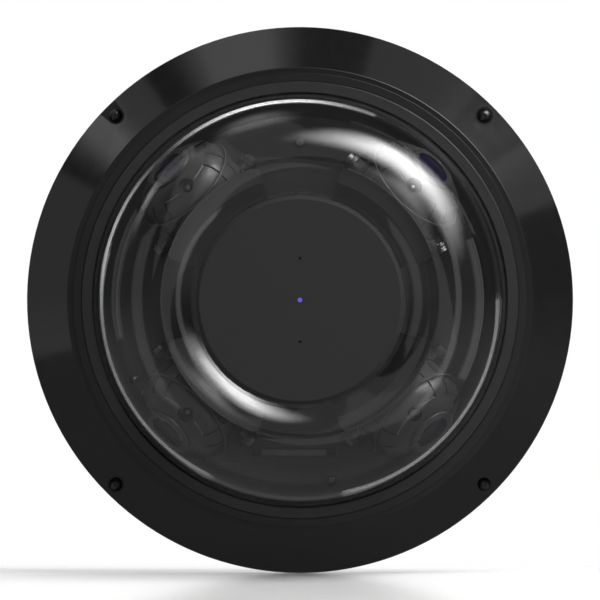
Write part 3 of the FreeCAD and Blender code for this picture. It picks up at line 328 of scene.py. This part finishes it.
def make_beads():
    """Fine moulded beads on each front shell, round its rim and along the panel's edge beside the screw hole,
    coloured lighter than the shell as painted highlight lines.
    """
    lean = math.radians(rest_tilt)
    for place, azimuth in places.items():
        about = math.radians(azimuth)

        def placed(x, y, z):
            out = pivot_circle + x * math.cos(lean) + z * math.sin(lean)
            front = pivot_height - x * math.sin(lean) + z * math.cos(lean)
            return (
                out * math.cos(about) - y * math.sin(about),
                -front,
                out * math.sin(about) + y * math.cos(about),
            )

        verts, faces = [], []
        ring = [(2 * math.pi * i / rim_steps, rim_bead_circle, rim_bead_height) for i in range(rim_steps)]
        bead(verts, faces, ring, rim_bead_radius, placed, True)
        for side in (1, -1):
            start, end = edge_bead_span
            ring = []
            for i in range(edge_steps + 1):
                angle = math.pi + side * math.radians(start + (end - start) * i / edge_steps)
                ring.append((angle, edge_bead_circle, edge_bead_height))
            if side < 0:
                ring.reverse()
            bead(verts, faces, ring, edge_bead_radius, placed, False)
        mesh = bpy.data.meshes.new("shell_beads_" + place)
        mesh.from_pydata(verts, [], faces)
        # The rim bead takes the painted highlight of the rim, and the panel-edge beads take the brighter painted
        # highlight
        mesh.materials.append(materials["rim_bead_painted_highlight"])
        mesh.materials.append(materials["edge_bead_painted_highlight"])
        for i, polygon in enumerate(mesh.polygons):
            polygon.use_smooth = True
            polygon.material_index = 0 if i < rim_steps * bead_sides else 1
        piece = bpy.data.objects.new("shell_beads_" + place, mesh)
        bpy.context.scene.collection.objects.link(piece)
        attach(piece, "eye_" + place)


def make_camera():
    """A long lens at the height of the dome, looking straight at it."""
    data = bpy.data.cameras.new("camera")
    data.sensor_width = sensor_width
    data.lens = sensor_width * camera_distance / photo_width
    data.clip_end = camera_reach
    camera = bpy.data.objects.new("camera", data)
    camera.location = (0, cover_back - camera_distance, 0)
    camera.rotation_euler = (math.radians(90), 0, 0)
    bpy.context.scene.collection.objects.link(camera)
    bpy.context.scene.camera = camera


def floor_material():
    """White floor with a soft gloss, which keeps the object's shadow and its faint reflection.

    The camera sees it fade to plain white towards its sides and its back.
    """
    mat, tree, out = node_tree("floor_white")
    shader = tree.nodes.new("ShaderNodeBsdfPrincipled")
    shader.inputs["Base Color"].default_value = (*floor_colour, 1)
    uneven = ranged(tree, noise(tree, floor_noise), *noise_middle, *floor_roughness)
    tree.links.new(uneven, shader.inputs["Roughness"])
    shader.inputs["Specular IOR Level"].default_value = floor_specular
    coords = tree.nodes.new("ShaderNodeTexCoord")
    split = tree.nodes.new("ShaderNodeSeparateXYZ")
    tree.links.new(coords.outputs["Object"], split.inputs["Vector"])
    aside = ranged(tree, maths(tree, "ABSOLUTE", split.outputs["X"]), *floor_fade_side, 0.0, 1.0)
    behind = ranged(tree, split.outputs["Y"], *floor_fade_back, 0.0, 1.0)
    fade_out = maths(tree, "MAXIMUM", aside, behind)
    white = tree.nodes.new("ShaderNodeEmission")
    mix = tree.nodes.new("ShaderNodeMixShader")
    tree.links.new(maths(tree, "MULTIPLY", any_ray(tree, "Is Camera Ray"), fade_out), mix.inputs["Fac"])
    tree.links.new(shader.outputs["BSDF"], mix.inputs[1])
    tree.links.new(white.outputs["Emission"], mix.inputs[2])
    tree.links.new(mix.outputs["Shader"], out.inputs["Surface"])
    return mat


def make_floor():
    """White floor that touches the cover's rim at its back, level from there back and sloping down to the camera.

    Neither the gloss of the pieces nor the look through the dome picks it up.
    """
    low = cad_box[0].z
    near = low + (-floor_front - cover_back) * math.tan(math.radians(floor_slope))
    rows = ((-floor_front, near), (cover_back, low), (floor_back, low))
    corners = [(x, y, z) for y, z in rows for x in (-floor_side, floor_side)]
    mesh = bpy.data.meshes.new("floor")
    mesh.from_pydata(corners, [], [(0, 1, 3, 2), (2, 3, 5, 4)])
    mesh.materials.append(floor_material())
    obj = bpy.data.objects.new("floor", mesh)
    obj.visible_glossy = False
    obj.visible_transmission = False
    bpy.context.scene.collection.objects.link(obj)


def mixed_level(tree, chosen, plain_level, chosen_level):
    """The plain level where chosen is nothing, and the chosen level, which is a number, where chosen is one."""
    mix = tree.nodes.new("ShaderNodeMix")
    tree.links.new(chosen, mix.inputs["Factor"])
    tree.links.new(plain_level, mix.inputs["A"])
    mix.inputs["B"].default_value = chosen_level
    return mix.outputs["Result"]


def make_world():
    """A dim surround, lighter below and dimmer to the back, with a level of its own for diffuse surfaces.

    It is white to the camera, and straight back in gloss and through the dome.
    """
    world = bpy.data.worlds.new("surround")
    world.use_nodes = True
    tree = world.node_tree
    tree.nodes.clear()
    out = tree.nodes.new("ShaderNodeOutputWorld")
    coords = tree.nodes.new("ShaderNodeTexCoord")
    split = tree.nodes.new("ShaderNodeSeparateXYZ")
    tree.links.new(coords.outputs["Generated"], split.inputs["Vector"])
    level = ranged(tree, split.outputs["Z"], *surround_change, surround_below, surround_above)
    share = ranged(tree, split.outputs["Y"], *surround_back, 1.0, surround_back_share)
    dim = maths(tree, "MULTIPLY", level, share)
    behind = ranged(tree, split.outputs["Y"], backdrop_edge, backdrop_edge + backdrop_soft, 0.0, 1.0)
    gloss = maths(tree, "MULTIPLY", any_ray(tree, "Is Glossy Ray", "Is Transmission Ray"), behind)
    white = maths(tree, "MAXIMUM", any_ray(tree, "Is Camera Ray"), gloss)
    strength = mixed_level(tree, white, dim, 1.0)
    ambient = mixed_level(tree, any_ray(tree, "Is Diffuse Ray"), strength, ambient_level)
    background = tree.nodes.new("ShaderNodeBackground")
    background.inputs["Color"].default_value = (1, 1, 1, 1)
    tree.links.new(ambient, background.inputs["Strength"])
    tree.links.new(background.outputs["Background"], out.inputs["Surface"])
    bpy.context.scene.world = world


def softbox(name, azimuth, tilt, distance, wide, high, radiance, core=0.0, spin=0.0):
    """A studio lamp aimed at the dome, wide along the azimuth and high along the tilt, both in degrees.

    The tilt is measured from the camera's axis. A core over 0 makes the lamp fade from there to its edge, and the
    spin turns it from the azimuth's way towards the camera.
    """
    a, t, turn = math.radians(azimuth), math.radians(tilt), math.radians(spin)
    away = Vector((math.sin(t) * math.cos(a), -math.cos(t), math.sin(t) * math.sin(a)))
    round_way = Vector((-math.sin(a), 0, math.cos(a)))
    front_way = away.cross(round_way)
    along = math.cos(turn) * round_way + math.sin(turn) * front_way
    across = away.cross(along)
    data = bpy.data.lights.new(name, "AREA")
    data.shape = "RECTANGLE"
    data.size = 2 * distance * math.tan(math.radians(wide / 2))
    data.size_y = 2 * distance * math.tan(math.radians(high / 2))
    data.energy = radiance * math.pi * data.size * data.size_y
    if core:
        fade(data, core)
    lamp = bpy.data.objects.new(name, data)
    lamp_axes = Matrix((along, across, away)).transposed().to_4x4()
    lamp.matrix_world = Matrix.Translation(lamp_aim + away * distance) @ lamp_axes
    bpy.context.scene.collection.objects.link(lamp)


def fade(data, core):
    """Lets a lamp fade from its core to its edge, as a real softbox does."""
    data.use_nodes = True
    tree = data.node_tree
    tree.nodes.clear()
    out = tree.nodes.new("ShaderNodeOutputLight")
    emission = tree.nodes.new("ShaderNodeEmission")
    spot = tree.nodes.new("ShaderNodeNewGeometry")
    off = tree.nodes.new("ShaderNodeVectorMath")
    off.operation = "DISTANCE"
    tree.links.new(spot.outputs["Parametric"], off.inputs[0])
    off.inputs[1].default_value = (lamp_middle, lamp_middle, 0)
    to_edge = lamp_middle
    strength = ranged(tree, off.outputs["Value"], core, to_edge, 1.0, 0.0)
    tree.links.new(maths(tree, "POWER", strength, lamp_fade_power), emission.inputs["Strength"])
    tree.links.new(emission.outputs["Emission"], out.inputs["Surface"])


# Soft studio light: a long key at the upper right, panels above, in front and at the sides, and strips behind.
# Name, azimuth, tilt, distance, width, height and radiance, and where it differs from 0 the core, then the spin.
lamps = (
    ("key", 55, 67, 1.3, 86, 54, 11.5, 0.1, 51),
    ("key_side", 34, 60, 1.4, 40, 64, 4.8, 0.05),
    ("key_high", 58, 77, 1.5, 34, 28, 4.6, 0.05),
    ("key_front", 45, 26, 1.6, 18, 56, 1.6, 0.1),
    ("front", 90, 0, 2.0, 8, 8, 0.2),
    ("top", 104, 99, 1.6, 34, 44, 0.85, 0.2),
    ("top_left", 132, 98, 1.6, 14, 26, 0.36),
    ("top_right", 62, 103, 1.6, 24, 12, 0.32),
    ("top_far_right", 28, 103, 1.6, 14, 12, 0.45),
    ("high_left", 120, 45, 1.8, 11, 84, 0.13),
    ("front_left", 112, 50, 2.2, 46, 80, 0.19),
    ("left", 172, 102, 1.8, 40, 18, 0.3),
    ("left_streak", 145, 96, 1.8, 52, 12, 1.8, 0.05, 39),
    ("left_front", 187, 50, 1.9, 52, 22, 0.26),
    ("right", 350, 40, 1.9, 52, 12, 0.5),
    ("right_front", 330, 26, 1.7, 24, 46, 0.23),
    ("right_side", 357, 88, 1.8, 46, 18, 0.35),
    ("edge_top", 102, 139, 1.8, 50, 10, 6.0, 0.05),
    ("edge_high", 80, 139, 1.8, 16, 5, 0.8),
    ("edge_left", 160, 139, 1.8, 46, 9, 2.4, 0.05),
    ("edge_low", 204, 139, 1.8, 56, 5, 0.6),
    ("edge_right", 322, 139, 1.8, 56, 5, 0.8),
)

make_camera()
make_floor()
make_world()
dress_nodes()
make_beads()
for lamp in lamps:
    softbox(*lamp)

scene = bpy.context.scene
scene.view_settings.view_transform = "Standard"
